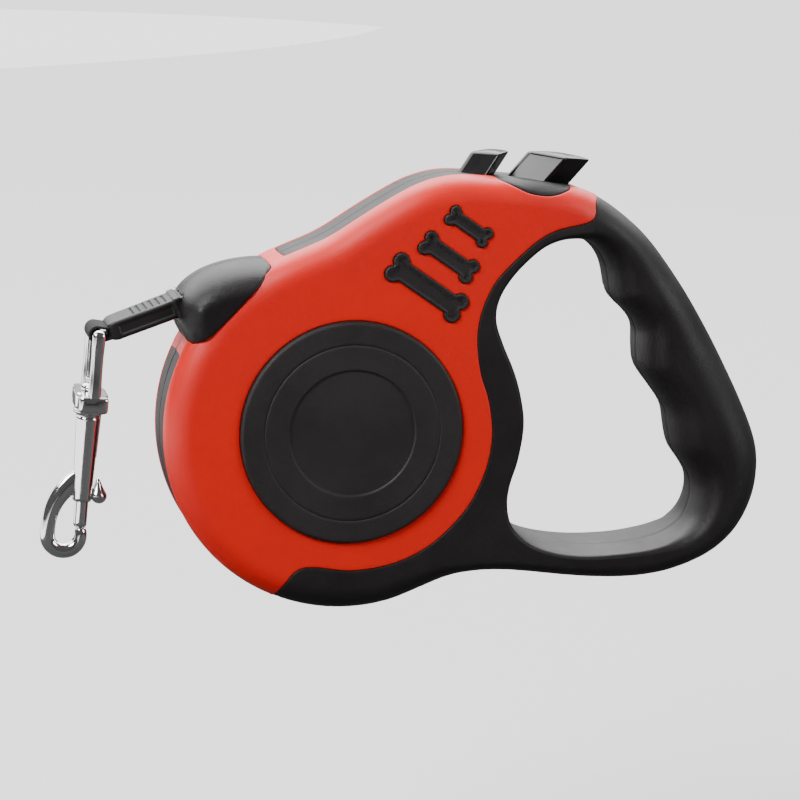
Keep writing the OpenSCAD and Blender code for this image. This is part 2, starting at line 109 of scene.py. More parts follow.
def left_normals(line, closed=True):
    if closed:
        d = np.roll(line, -1, 0) - np.roll(line, 1, 0)
    else:
        d = np.gradient(line, axis=0)
    d /= np.linalg.norm(d, axis=1)[:, None]
    return np.column_stack([-d[:, 1], d[:, 0]])


def ramp(v, a, b):
    t = np.clip((v - a) / (b - a), 0, 1)
    return t * t * (3 - 2 * t)


def tree_of(points):
    tree = kdtree.KDTree(len(points))
    for i, p in enumerate(points):
        tree.insert((p[0], p[1], 0), i)
    tree.balance()
    return tree


def within(points, line):
    """Which of the points lie inside the closed line."""
    a, b = line, np.roll(line, -1, 0)
    inside = np.zeros(len(points), bool)
    for i in range(0, len(points), 4000):
        x, y = points[i:i + 4000, :1], points[i:i + 4000, 1:]
        crosses = (a[:, 1] > y) != (b[:, 1] > y)
        with np.errstate(divide="ignore", invalid="ignore"):
            xs = a[:, 0] + (y - a[:, 1]) * (b[:, 0] - a[:, 0]) / (b[:, 1] - a[:, 1])
        inside[i:i + 4000] = (np.sum(crosses & (x < xs), axis=1) % 2) == 1
    return inside


# ---- one half of the shell as a skin over its side view ----


class Edge:
    """An edge of a half shell, with the material on its left. A shoulder of radius `radius` turns down
    from the face to the rim, which is `rim` high above the seam. The side view goes on past the edge by
    `reach`, and that stretch stands for the rim, so that outlines can be drawn round the corner."""

    def __init__(self, line, closed, radius, rim, reach):
        self.line, self.closed = line, closed
        self.normal = left_normals(line, closed)
        soft = lambda v: softened(v * np.ones(len(line)), 16, closed)
        self.radius, self.rim, self.reach = soft(radius), soft(rim), soft(reach)
        self.tree = tree_of(line)

    def at(self, k, s):
        """The point s inside the edge's point k; s below 0 is on the rim."""
        return self.line[k] + self.normal[k] * np.reshape(s, (-1, 1))

    def near(self, x, z):
        return self.tree.find((x, z, 0))[1]

    def depth_of(self, k, y, top):
        """How far in the side view the height y on the shoulder or rim lies from the edge."""
        rise = top(self.line[k]) - self.rim[k]
        curve = math.pi / 2 * np.sqrt((self.radius[k] ** 2 + rise**2) / 2)
        along = np.where(y <= self.rim[k], curve + self.rim[k] - y, curve * np.arccos(
            np.clip((y - self.rim[k]) / rise, 0, 1)) / (math.pi / 2))
        return self.radius[k] - (self.radius[k] + self.reach[k]) * along / (curve + self.rim[k])

    def turn_line(self, turn):
        """The line where the shoulder has turned down by `turn` degrees."""
        curve = math.pi / 2 * np.sqrt((self.radius**2 + (FACE_Y - self.rim) ** 2) / 2)
        along = curve * turn / 90
        return self.line + self.normal * (self.radius - (self.radius + self.reach) * along
                                          / (curve + self.rim))[:, None]

    def foot(self, P):
        n = len(self.line)
        i = np.array([self.tree.find((p[0], p[1], 0))[1] for p in P])
        best = None
        for a in (i - 1, i):
            a = a % n if self.closed else np.clip(a, 0, n - 2)
            b = (a + 1) % n
            A, d = self.line[a], self.line[b] - self.line[a]
            t = np.clip(np.sum((P - A) * d, 1) / np.sum(d * d, 1), 0, 1)
            F = A + d * t[:, None]
            far = np.sum((P - F) ** 2, 1)
            if best is None:
                best = [far, F, a, b, t]
            else:
                m = far < best[0]
                for j, v in enumerate((far, F, a, b, t)):
                    best[j] = np.where(m[:, None] if v.ndim > 1 else m, v, best[j])
        far, F, a, b, t = best
        mix = lambda v: v[a] + (v[b] - v[a]) * (t[:, None] if v.ndim > 1 else t)
        N = mix(self.normal)
        N /= np.linalg.norm(N, axis=1)[:, None]
        s = np.sqrt(far) * np.sign(np.sum((P - F) * N, 1) + 1e-12)
        # away from the edge the point's own direction from its foot is the truer normal
        D = (P - F) / np.where(np.abs(s) < 1e-9, 1, s)[:, None]
        w = ramp(np.abs(s), 0.2, 0.8)[:, None]
        N = N * (1 - w) + D * w
        return s, F, N, mix(self.radius), mix(self.rim), mix(self.reach)


def skin(P, edges, top):
    """The points of the side view laid on the half shell, as x, y, z."""
    Y = top(P)
    out = np.column_stack([P[:, 0], Y, P[:, 1]])
    share = np.full(len(P), 1.0)
    for e in edges:
        s, F, N, r, rim, reach = e.foot(P)
        m = s / r < share
        rise = Y - rim
        curve = math.pi / 2 * np.sqrt((r**2 + rise**2) / 2)
        along = np.clip((r - s) / (r + reach), 0, 1) * (curve + rim)
        turn = np.minimum(along / curve, 1) * math.pi / 2
        Q = F + N * (r * (1 - np.sin(turn)))[:, None]
        y = np.where(along < curve, rim + rise * np.cos(turn), rim - (along - curve))
        out[m] = np.column_stack([Q[:, 0], y, Q[:, 1]])[m]
        share = np.where(m, s / r, share)
    return out


def skin_normals(P, edges, top):
    a = skin(P, edges, top)
    u = skin(P + [0.03, 0], edges, top) - a
    v = skin(P + [0, 0.03], edges, top) - a
    n = np.cross(v, u)
    size = np.linalg.norm(n, axis=1)
    n[size < 1e-12] = (0, 1, 0)
    return a, n / np.maximum(np.linalg.norm(n, axis=1), 1e-12)[:, None]


def grid(lo, hi, pitch):
    xs = np.arange(lo[0], hi[0], pitch)
    zs = np.arange(lo[1], hi[1], pitch * math.sqrt(3) / 2)
    X, Z = np.meshgrid(xs, zs)
    X = X + (np.arange(len(zs)) % 2)[:, None] * pitch / 2
    return np.column_stack([X.ravel(), Z.ravel()])


def calmed(points, normals, faces, level, free):
    """Draws points that stand out of the skin back between their neighbours, and mends their normals.
    Such points lie where two stretches of one edge are equally near."""
    e = np.concatenate([faces[:, [0, 1]], faces[:, [1, 2]], faces[:, [2, 0]]])
    e = np.unique(np.sort(e, axis=1), axis=0)
    both = np.concatenate([e, e[:, ::-1]])
    count = np.maximum(np.bincount(both[:, 0], minlength=len(points)), 1)
    uneven = np.bincount(both[:, 0], np.abs(level[both[:, 0]] - level[both[:, 1]]), len(points))
    free = free & (uneven < 1e-6)
    for _ in range(12):
        middle = np.column_stack([np.bincount(both[:, 0], points[both[:, 1], k], len(points))
                                  for k in range(3)])
        middle /= count[:, None]
        out = free & (np.linalg.norm(points - middle, axis=1) > 0.2)
        points = np.where(out[:, None], middle, points)
    a, b, c = points[faces[:, 0]], points[faces[:, 1]], points[faces[:, 2]]
    across = np.cross(c - a, b - a)
    own = np.column_stack([np.bincount(faces.ravel(), np.repeat(across[:, k], 3), len(points))
                           for k in range(3)])
    own /= np.maximum(np.linalg.norm(own, axis=1), 1e-12)[:, None]
    wild = free & (np.sum(own * normals, axis=1) < 0.97)
    return points, np.where(wild[:, None], own, normals)


def patch(name, loops, edges, top, pitch, lift=0.0, steps=(), sides=(1, -1), guides=()):
    """A piece of skin bounded by loops, made for each side, +Y first.
    A loop is (line, rings, skirt): each ring is (distance in from the line, lift off the skin), and the skirt
    is how deep the edge is turned in. A step is (line, rings, lift inside it). A guide is (line, which of its
    points are kept) and only steers the mesh."""
    flat, lifts, links, free = [], [], [], []
    borders = []

    def add(line, level):
        k = len(flat)
        flat.extend(line)
        lifts.extend([level] * len(line))
        links.extend((k + i, k + (i + 1) % len(line)) for i in range(len(line)))
        return k

    for line, rings, skirt in loops:
        n = left_normals(line)
        for j, (inset, level) in enumerate(rings):
            k = add(line + n * inset, lift + level)
            if j == 0:
                borders.append((k, len(line), skirt))
        free.append(line + n * rings[-1][0])
    for line, rings, _ in steps:
        n = left_normals(line)
        for inset, level in rings:
            add(line + n * inset, lift + level)
        free.extend([line + n * rings[0][0], line + n * rings[-1][0]])
    fixed = len(flat)
    for line, kept in guides:
        k = len(flat)
        number = np.cumsum(kept) - 1
        flat.extend(line[kept])
        lifts.extend([lift] * int(kept.sum()))
        links.extend((k + int(number[i]), k + int(number[(i + 1) % len(line)]))
                     for i in range(len(line)) if kept[i] and kept[(i + 1) % len(line)])
        if kept.any():
            free.append(line[kept])
    steered = len(flat)
    outline = loops[0][0]
    near = tree_of(np.concatenate(free))
    inside = grid(outline.min(0), outline.max(0), pitch)
    keep = within(inside, outline)
    for line, _, _ in loops[1:]:
        keep &= ~within(inside, line)
    inside = inside[keep]
    gap = np.array([near.find((p[0], p[1], 0))[2] for p in inside])
    inside = inside[gap > 0.62 * pitch]
    level = np.full(len(inside), lift)
    for line, _, inner in steps:
        hidden = within(inside, line)
        level[hidden] = lift + inner
    flat = np.array(flat + list(inside))
    lifts = np.array(lifts + list(level))
    co, _, faces, origin, _, _ = geometry.delaunay_2d_cdt(
        [Vector(p) for p in flat], links, [], 0, 1e-7)
    place = np.array([v[:] for v in co])
    source = np.array([o[0] if o else -1 for o in origin])
    if (source < 0).any():
        far = tree_of(flat)
        source = np.array([far.find((p[0], p[1], 0))[1] if s < 0 else s for p, s in zip(place, source)])
    faces = np.array([list(f) for f in faces])
    middle = place[faces].mean(1)
    keep = within(middle, outline)
    for line, _, _ in loops[1:]:
        keep &= ~within(middle, line)
    faces = faces[keep]
    points, normals = skin_normals(place, edges, top)
    points, normals = calmed(points, normals, faces, lifts[source], source >= steered)
    raised = points + normals * lifts[source][:, None]
    verts = list(raised)
    smooth = [tuple(n) if source[i] >= fixed else (0, 0, 0) for i, n in enumerate(normals)]
    faces = [list(f) for f in faces]
    of_source = {s: i for i, s in reversed(list(enumerate(source)))}
    for k, count, skirt in borders:
        if skirt is None:
            continue
        ring = [of_source.get(k + i) for i in range(count)]
        if None in ring:
            ring = [i for i in ring if i is not None]
        base = len(verts)
        for i in ring:
            if callable(skirt):
                verts.append(skirt(raised[i]))
            else:
                verts.append(points[i] + normals[i] * (lift + skirt))
            smooth.append((0, 0, 0))
        count = len(ring)
        for i in range(count):
            j = (i + 1) % count
            faces.append([ring[i], ring[j], base + j, base + i])
    made = []
    for side in sides:
        v = [row(p[0], side * p[1], p[2]) for p in verts]
        f = [q if side < 0 else q[::-1] for q in faces]
        me = bpy.data.meshes.new(name)
        me.from_pydata(v, [], f)
        me.validate()
        me.update()
        me.shade_smooth()
        me.normals_split_custom_set_from_vertices([(n[0], side * n[1], n[2]) for n in smooth])
        ob = bpy.data.objects.new(("right_" if side > 0 else "left_") + name, me)
        bpy.context.collection.objects.link(ob)
        made.append(ob)
    return made


# ---- the casing's outlines ----

BODY_TOP = [
    (101.5, -44.5), (109.5, -41), (116, -35), (120.5, -26), (121.8, -17), (120.8, -9.5), (117.1, 0),
    (111.3, 12), (104.3, 25), (96.2, 38), (87.1, 50), (79, 57.2), (72, 61.8), (66, 64.5), (55, 66.8),
    (45, 68), (35, 69), (28, 69), (20, 67), (12, 63), (5, 59), (-5, 53), (-13, 49.8)]
CASING_R = 51
BODY_ARC = [(CASING_R * math.cos(math.radians(a)), CASING_R * math.sin(math.radians(a)))
            for a in range(114, 283, 12)]
BODY_BOTTOM = [(20, -46.7), (28, -43.8), (35, -42.8), (42, -42.8), (50, -43.7), (60, -45.3),
               (70, -46.7), (80, -47.5), (91, -47)]
OPENING = [
    (61.5, 51), (55.5, 49.5), (50.5, 46), (45.5, 41), (42, 35.5), (40.9, 29.5), (43, 22.5), (46.3, 14.5),
    (48.4, 6.5), (49.1, -1), (47.5, -10.5), (45.2, -17.5), (44.5, -23.5), (46, -29.5), (50.5, -34),
    (57, -37), (66, -38.8), (76, -39.4), (86, -39), (94.5, -37), (100.3, -33), (102.8, -27.3),
    (102.8, -21.5), (100.5, -17), (97.1, -12), (95.7, -6), (94.6, 0), (90.6, 6), (86.4, 12), (85.6, 18),
    (85.4, 24), (82.2, 28.5), (78.1, 32.5), (77.2, 37), (76.2, 42), (73.5, 46.5), (68.5, 50)]
PANEL_END = [
    (69.3, 60.5), (67.6, 56.2), (58, 54), (52, 51), (46, 46), (41, 41), (38, 36), (36, 30.5), (35.2, 24),
    (36.2, 15), (38.6, 7), (39.6, -2), (38.4, -10.5), (35, -19), (30, -26), (22, -33), (12, -37.5),
    (0, -39), (-11, -37.4), (-16, -38.3), (-20.5, -43.5)]
SCOOP = [(62.5, 65.2), (59, 63.5), (55, 63), (50, 63.9), (46, 66), (42, 68.7)]
POD_OUTER = [(-12, 46.4), (-20, 46.8), (-26, 46.9), (-32, 46.1), (-38, 44.2), (-42.5, 41.4), (-45.5, 38),
             (-46.3, 33.8), (-45.4, 28.9), (-43.2, 24.8), (-40, 20)]
POD_INNER = [(-21.3, 46.4), (-24.8, 42), (-29, 37.2), (-34.2, 31.9), (-39.6, 27.3), (-43.2, 25.9)]
FACE_Y = 15
GRIP_Y = 13.5


def casing_top(P):
    P = np.atleast_2d(P)
    return FACE_Y - (FACE_Y - GRIP_Y) * ramp(P[:, 0], 60, 84)


def casing_edges():
    body = spline(BODY_TOP + BODY_ARC + BODY_BOTTOM)
    body = softened(body, 9)
    hole = softened(spline(OPENING), 4.5)[::-1]
    x, z = body.T
    grip = ramp(x, 66, 82) * ramp(z, -49, -40)
    bar = ramp(-z, 38, 42.5) * ramp(x, 18, 34) * (1 - ramp(x, 88, 106))
    radius = 7 + 4 * grip - 3.2 * bar
    rim = 8 - 6 * grip - 1 * bar
    outer = Edge(body, True, radius, rim, 10 - 1.5 * grip - 4 * bar)
    x, z = hole.T
    grip = np.maximum(ramp(x, 63, 77) * ramp(z, 34, 46), ramp(x, 70, 80) * ramp(z, -34, -20))
    grip = np.maximum(grip, ramp(x, 86, 101) * ramp(z, -40, -30))
    radius = 1.3 + 6.2 * grip
    rim = 13.2 - 11 * grip - 1.2 * ramp(x, 50, 70) * (1 - grip)
    inner = Edge(hole, True, radius, rim, 5.2)
    # two shoulders never meet across a narrow part
    for edge, other, share in ((outer, inner, 0.56), (inner, outer, 0.38)):
        width = np.array([other.tree.find((p[0], p[1], 0))[2] for p in edge.line])
        edge.radius = softened(np.minimum(edge.radius, share * width), 10)
    return outer, inner


OUTER, INNER = casing_edges()
CASING = (OUTER, INNER)


def along(edge, start, end, depth):
    """Points along an edge from its point nearest start to that nearest end, depth(k) inside it."""
    a, b = edge.near(*start), edge.near(*end)
    n = len(edge.line)
    k = np.arange(a, b + 1) if b >= a else np.arange(a, b + n + 1) % n
    return edge.at(k, depth(k))


def strip_line(k):
    return OUTER.depth_of(k, OUTER.rim[k], casing_top)


def seam_line(k):
    return -OUTER.reach[k]


def panel_outline():
    """The coloured panel's outline in the side view, anticlockwise from its upper right corner."""
    tip, foot = (-21.5, 46.4), (-44.3, 26.9)
    parts = [
        along(OUTER, (71.3, 62.2), (63.2, 65.4), strip_line),
        spline(SCOOP, False),
        along(OUTER, (41, 68.6), (-17, 48.2), strip_line),
        along(OUTER, (-17.2, 48.1), tip, seam_line),
        spline(POD_INNER, False),
        along(OUTER, foot, (-45.9, 22.2), seam_line),
        along(OUTER, (-46, 22), (-21.6, -46.2), strip_line),
        spline(PANEL_END[::-1], False),
    ]
    return softened(even(np.concatenate(parts), 0.2), 3)


# half widths of the two buttons from their left end to their right end
BRAKE_LEAF = [(0, 0.9), (0.5, 7.0), (1, 1.0)]
LOCK_LEAF = [(0, 0.9), (0.6, 6.8), (1, 0.9)]


def notch(leaf, left, right):
    """How deep the housing's edge is cut back for a button whose foot runs from left to right."""
    def depth(k):
        share = np.clip((OUTER.line[k][:, 0] - left) / (right - left), 0, 1)
        return OUTER.depth_of(k, np.interp(share, *zip(*leaf)) + 0.3, casing_top)
    return depth


def housing_outline():
    """The housing's edge at the seam, with notches for the two buttons."""
    parts = [
        along(OUTER, (61.6, 65.4), (47.2, 67.7), notch(BRAKE_LEAF, 46.8, 66)),
        along(OUTER, (46.4, 67.8), (45, 68.0), seam_line),
        along(OUTER, (44.3, 68.1), (33.3, 69), notch(LOCK_LEAF, 33.3, 44.2)),
        along(OUTER, (32.6, 69), (62.6, 65.2), seam_line),
    ]
    return softened(even(np.concatenate(parts), 0.5), 1)


PANEL = panel_outline()
HOUSING = housing_outline()


def moved(line, d):
    return line + left_normals(line) * d


def disc_line(r, x=0, z=0, n=200):
    a = -np.linspace(0, 2 * math.pi, n, endpoint=False)
    return np.column_stack([x + r * np.cos(a), z + r * np.sin(a)])


def bone_line(middle, length, width, knob, grow=0.0, hole=True):
    """A bone: a bar with two knobs at each end."""
    turn = math.radians(-35.5)
    knob = knob + grow
    half, w = length / 2, width / 2
    pts = []
    for sx in (1, -1):
        cx = sx * half
        # the outer sides of the knobs, from the shaft round the end to the shaft
        for sy in ((-1, 1) if sx > 0 else (1, -1)):
            if sx > 0:
                a = np.radians(np.linspace(200 if sy < 0 else -62, 422 if sy < 0 else 160, 22))
            else:
                a = np.radians(np.linspace(20 if sy > 0 else 118, 242 if sy > 0 else 340, 22))
            pts.append(np.column_stack([cx + knob * np.cos(a), sy * w + knob * np.sin(a)]))
    line = np.concatenate(pts)
    line = softened(even(line, 0.12), 1.6)
    c, s = math.cos(turn), math.sin(turn)
    line = line @ np.array([[c, s], [-s, c]]) + np.array(middle)
    return line[::-1] if hole else line


BONES = [((20.9, 39.3), 20.3, 4.2, 2.3), ((27, 47.5), 14.2, 3.4, 1.9), ((32.6, 55.7), 11, 2.8, 1.6)]
SCREWS = [(16, 56.5), (41, -35.5), (88, -43.1), (109.5, -12), (77.5, 51.5)]
CAP_R, CAP_RISE, CAP_BEVEL, CAP_SINK = 31, 1.5, 1.1, 0.5
SCREW_HEAD_R = 3.2
# the rounded edge where the two halves meet, as rings for patch()
SEAM_RINGS = [(0, -0.35), (0.3, -0.04), (0.7, 0)]


def make_housings():
    """The two black halves with the grip, the deck and the recess that the coloured panel lies in."""
    recess = PANEL.copy()
    # where the panel reaches the seam, the recess stops short of it
    s, _, N, _, _, reach = OUTER.foot(recess)
    pull = np.maximum(-s - reach + 1.2, 0)
    recess = recess + N * pull[:, None]
    recess = moved(even(recess, 0.5), -0.02)
    step = (recess, [(-0.5, 0), (-0.14, -0.1), (-0.06, -1.3)], -1.3)
    opening = even(INNER.at(np.arange(len(INNER.line)), -INNER.reach), 0.5)
    loops = [(HOUSING, SEAM_RINGS, -1.4), (opening, SEAM_RINGS, -1.4)]
    # lines round the small shoulder of the opening keep its edge crisp
    guides = [(INNER.turn_line(turn)[::2], (INNER.radius < 3.2)[::2]) for turn in (0, 22, 45, 68, 90)]
    left = patch("housing", loops, CASING, casing_top, 1.1, 0, [step], (-1,), guides)
    down = lambda p: np.array([p[0], 8.2, p[2]])
    holes = [(disc_line(SCREW_HEAD_R, *p, n=48), [(0, -0.25), (0.25, -0.03), (0.6, 0)], down)
             for p in SCREWS[1:]]
    right = patch("housing", loops + holes, CASING, casing_top, 1.1, 0, [step], (1,), guides)
    return left + right


def make_panels():
    loops = [(PANEL, [(0, -0.22), (0.1, -0.06), (0.3, 0)], -1.2),
             (disc_line(CAP_R + 0.12), [(0, -0.2), (0.1, -0.05), (0.3, 0)], -1.2)]
    for b in BONES:
        loops.append((bone_line(*b, grow=0.1), [(0, -0.15), (0.12, -0.03), (0.3, 0)], -1.2))
    return patch("panel", loops, CASING, casing_top, 1.0, 0.15)


def make_bones():
    """The three bone inlays of each side, joined into one piece a side."""
    made = []
    for side in (1, -1):
        parts = []
        for b in BONES:
            line = bone_line(*b, hole=False)
            parts += patch("bone_inlays", [(line, [(0, 0.35), (0.12, 0.62), (0.35, 0.78), (0.7, 0.85)], -1)],
                           CASING, casing_top, 0.7, 0.0, sides=(side,))
        made.append(joined(parts))
    return made


def joined(parts, name=None):
    """Several meshes as one object, with the first one's name."""
    with bpy.context.temp_override(active_object=parts[0], selected_editable_objects=parts):
        bpy.ops.object.join()
    if name:
        parts[0].name = name
    return parts[0]


def make_nozzles():
    """The two bulging pods round the tape's mouth."""
    line = softened(spline(POD_OUTER, False), 6, False)
    x, z = line.T
    nose = ramp(z, 29, 38) * (0.6 + 0.4 * ramp(-x, 18, 26))
    low = ramp(-z, -31, -26)
    edge = Edge(line, False, 6.8 + 1.6 * nose * ramp(z, 41, 45) - 1.2 * low, 8 - 6.4 * nose, 8)
    top = lambda P: 15.1 + 0 * np.atleast_2d(P)[:, 0]
    k = np.arange(edge.near(-21.3, 47), edge.near(-44.2, 26) + 1)
    up = np.array([-math.sin(math.radians(TAPE_SLOPE)), math.cos(math.radians(TAPE_SLOPE))])
    high = (edge.line[k] - tape_point(MOUTH, 1)) @ up
    mouth = (np.abs(high) < SLEEVE_H / 2 + 0.55) & (edge.line[k][:, 0] < -38)
    depth = np.where(mouth, edge.depth_of(k, SLEEVE_W / 2 + 0.5, top), -edge.reach[k])
    rim = edge.at(k, depth)
    outline = np.concatenate([rim, spline(POD_INNER[::-1], False)])
    outline = softened(even(outline, 0.2), 2.2)
    if signed_area(outline) < 0:
        outline = outline[::-1]
    loops = [(outline, [(0, -0.4), (0.18, -0.1), (0.5, 0)], -2.4)]
    return patch("nozzle", loops, (edge,), top, 0.75, 0)


def signed_area(line):
    x, z = line.T
    return 0.5 * np.sum(x * np.roll(z, -1) - np.roll(x, -1) * z)


# ---- the tape's frame: a runs out of the nozzle along the tape, b is up off it ----

TAPE_SLOPE = 18.9
MOUTH = 30.5
SLEEVE_H, SLEEVE_W, SLEEVE_LEN = 5.2, 14, 21.5
TAPE_LINE_R = 46.9


def tape_point(a, b):
    c, s = math.cos(math.radians(TAPE_SLOPE)), math.sin(math.radians(TAPE_SLOPE))
    return np.array([-s * (TAPE_LINE_R + b) - c * a, c * (TAPE_LINE_R + b) - s * a])


def mesh_piece(name, verts, faces):
    """A mesh object from points in millimetres about the reel axis."""
    me = bpy.data.meshes.new(name)
    me.from_pydata([row(*v) for v in verts], [], faces)
    me.validate()
    bm = bmesh.new()
    bm.from_mesh(me)
    bmesh.ops.remove_doubles(bm, verts=bm.verts, dist=1e-6)
    bmesh.ops.recalc_face_normals(bm, faces=bm.faces)
    bm.to_mesh(me)
    bm.free()
    me.shade_smooth()
    ob = bpy.data.objects.new(name, me)
    bpy.context.collection.objects.link(ob)
    return ob


def loft(name, rings, closed_ends=True, wrap=True, place=lambda p: p):
    """A skin through rings that all have the same number of points."""
    n = len(rings[0])
    verts = [place(p) for ring in rings for p in ring]
    faces = []
    for i in range(len(rings) - 1):
        for j in range(n if wrap else n - 1):
            k = (j + 1) % n
            faces.append([i * n + j, i * n + k, (i + 1) * n + k, (i + 1) * n + j])
    if closed_ends:
        faces.append(list(range(n))[::-1])
        faces.append([(len(rings) - 1) * n + j for j in range(n)])
    return mesh_piece(name, verts, faces)


def lathe(name, profile, place, n=96, closed_ends=False):
    """Turns a profile of (radius, height) about the local z axis."""
    angles = np.linspace(0, 2 * math.pi, n, endpoint=False)
    rings = [[(r * math.cos(a), r * math.sin(a), h) for a in angles] for r, h in profile]
    return loft(name, rings, closed_ends, True, place)


def tube(name, path, radii, across, place, sides):
    """A bar along a path in the local xz plane; across is its half thickness out of that plane."""
    path = np.array(path, float)
    d = np.gradient(path, axis=0)
    d /= np.linalg.norm(d, axis=1)[:, None]
    rings = []
    for p, t, r, deep in zip(path, d, radii, across):
        n = np.array([-t[1], t[0]])
        ring = []
        for j in range(sides):
            a = 2 * math.pi * j / sides
            q = p + n * r * math.cos(a)
            ring.append((q[0], deep * math.sin(a), q[1]))
        rings.append(ring)
    return loft(name, rings, True, True, place)


def rounded_rect(w, h, r, k=6):
    """Points of a rounded rectangle of half sizes w and h."""
    pts = []
    corners = ((w - r, h - r, 0), (-w + r, h - r, 90), (-w + r, -h + r, 180), (w - r, -h + r, 270))
    for cx, cy, a0 in corners:
        for i in range(k + 1):
            a = math.radians(a0 + 90 * i / k)
            pts.append((cx + r * math.cos(a), cy + r * math.sin(a)))
    return pts


# ---- caps, buttons, sleeve and loop ----


def make_caps():
    """The round caps: a bevelled edge, a fine ring groove and a sunk centre."""
    f = FACE_Y + CAP_RISE
    edge = [(CAP_R - CAP_BEVEL + CAP_BEVEL * math.sin(t), f - CAP_BEVEL + CAP_BEVEL * math.cos(t))
            for t in np.linspace(0, math.pi / 2, 9)]
    profile = [(r, f - CAP_SINK) for r in (0.01, 6, 12, 16.8, 17.3)]
    profile += [(17.42, f - 0.47), (17.62, f - 0.06), (17.75, f), (18.1, f), (20, f), (23.6, f), (24.2, f),
                (24.3, f - 0.05), (24.5, f - 0.3), (24.7, f - 0.05), (24.8, f), (25.3, f), (27, f), (29.3, f)]
    profile += edge + [(CAP_R, f - 1.8), (CAP_R, 12.9)]
    made = []
    for side, name in ((1, "right_cap"), (-1, "left_cap")):
        made.append(lathe(name, profile, lambda p, s=side: (p[0], s * p[2], p[1]), n=192))
    return made


def button(name, left, right, lean, depth, widths, dome):
    """A leaning button: a leaf-shaped section with soft creases, drawn along `lean`, with a domed top.
    widths are (share along the top, half width)."""
    e = np.array([math.cos(math.radians(lean)), math.sin(math.radians(lean))])
    left, right = np.array(left, float), np.array(right, float)
    length = np.linalg.norm(right - left)
    n = 90
    s = 0.5 - 0.5 * np.cos(np.linspace(0, math.pi, n))
    ss = np.linspace(0, 1, 400)
    w = softened(np.interp(ss, *zip(*widths)), 8, False)
    end = np.minimum(ss, 1 - ss) * length
    round_end = 0.6
    w = w * np.sqrt(np.clip(1 - (1 - np.minimum(end / round_end, 1)) ** 2, 0, 1))
    w = np.interp(s, ss, w)
    t = np.sin(np.linspace(-math.pi / 2, math.pi / 2, 41))
    t = np.sign(t) * np.abs(t) ** 0.8
    fillet = 0.7
    rows = []
    for si, wi in zip(s, w):
        base = left + (right - left) * si
        off = min(si, 1 - si) * length
        line = []
        for v in np.linspace(-depth, -fillet, 6):
            line.append((base, v, -wi))
        for tj in t[1:-1]:
            edge = min((1 - abs(tj)) * wi, off)
            rise = fillet * math.sqrt(max(0, 1 - (1 - min(edge / fillet, 1)) ** 2))
            crown = dome * (1 - tj * tj) * math.sin(math.pi * min(max(si, 0), 1)) ** 0.7
            line.append((base, -fillet + rise + crown, tj * wi))
        for v in np.linspace(-fillet, -depth, 6):
            line.append((base, v, wi))
        rows.append([(b[0] + e[0] * v, y, b[1] + e[1] * v) for b, v, y in line])
    return loft(name, rows, False, False)


def make_buttons():
    brake = button("brake_button", (53.4, 74.1), (71.1, 71.4), 47, 13, BRAKE_LEAF, 1.1)
    lock = button("lock_button", (37.0, 74.3), (47.7, 74.3), 56, 9.5, LOCK_LEAF, 0.8)
    return brake, lock


def ribbed(a, y, b, w, h, grooves, end):
    """A point of the sleeve's section, y across and b up, with the grooves on top and the long inset at
    the sides."""
    if b > h - 0.3:
        near = min(abs(a - g) for g in grooves)
        inner = 1 - ramp(abs(y), w - 1.9, w - 1.5)
        b -= 0.55 * (1 - ramp(near, 0.28, 0.42)) * inner
    if abs(y) > w - 0.3:
        inset = 1 - ramp(abs(b), h * 0.42, h * 0.56)
        deep = 0.28 * inset * ramp(a, MOUTH + 3, MOUTH + 3.5) * (1 - ramp(a, end - 3.4, end - 2.9))
        y -= math.copysign(deep, y)
    return y, b


def make_sleeve():
    """The hard sleeve on the end of the tape, with ribs on its upper face and a collar at the mouth."""
    start, end = MOUTH - 1.5, MOUTH + SLEEVE_LEN
    grooves = [MOUTH + 4.35 + i * 1.85 for i in range(6)]
    stops = list(np.linspace(start, end, 50)) + [end - d for d in (0.03, 0.15, 0.4, 0.8, 1.3, 1.9)]
    stops += [MOUTH + d for d in (0.3, 0.45, 0.6, 2.2, 2.35, 2.5, 3, 3.25, 3.5)]
    stops += [end - 3.4, end - 3.15, end - 2.9]
    for g in grooves:
        stops += [g - 0.42, g - 0.35, g - 0.28, g + 0.28, g + 0.35, g + 0.42]
    rings = []
    for a in sorted(set(stops)):
        tip = math.sqrt(max(0.0, 1 - (1 - min((end - a) / 2.4, 1)) ** 2))
        collar = ramp(a, MOUTH + 0.3, MOUTH + 0.6) * (1 - ramp(a, MOUTH + 2.2, MOUTH + 2.5))
        w = SLEEVE_W / 2 - 0.7 * ramp(a, MOUTH + 4, end) - 1.7 * (1 - tip) + 0.6 * collar
        h = SLEEVE_H / 2 - 1.1 * (1 - tip) + 0.35 * collar
        corners = rounded_rect(w, h, 0.8, 6)
        ring = []
        for i, (y, b) in enumerate(corners):
            y2, b2 = corners[(i + 1) % len(corners)]
            far = math.hypot(y2 - y, b2 - b)
            count = 1 if far <= 1 else 40 if abs(y2 - y) > abs(b2 - b) else 14
            for t in np.linspace(0, 1, count, endpoint=False):
                yy, bb = ribbed(a, y + (y2 - y) * t, b + (b2 - b) * t, w, h, grooves, end)
                p = tape_point(a, 1 + bb)
                ring.append((p[0], yy, p[1]))
        rings.append(ring)
    return loft("end_sleeve", rings)


def strip(name, path, half_w, half_t):
    """A woven strip along a path, with rounded selvedges."""
    path = np.array(path, float)
    d = np.gradient(path, axis=0)
    d /= np.linalg.norm(d, axis=1)[:, None]
    rings = []
    for p, t in zip(path, d):
        n = np.array([-t[1], t[0]])
        ring = []
        for y, b in rounded_rect(half_w, half_t, half_t * 0.95, 4):
            q = p + n * b
            ring.append((q[0], y, q[1]))
        rings.append(ring)
    return loft(name, rings)


LOOP_CENTRE = np.array([-67.7, 28.2])
LOOP_R = 1.7
WEB_HALF_W = 5.9


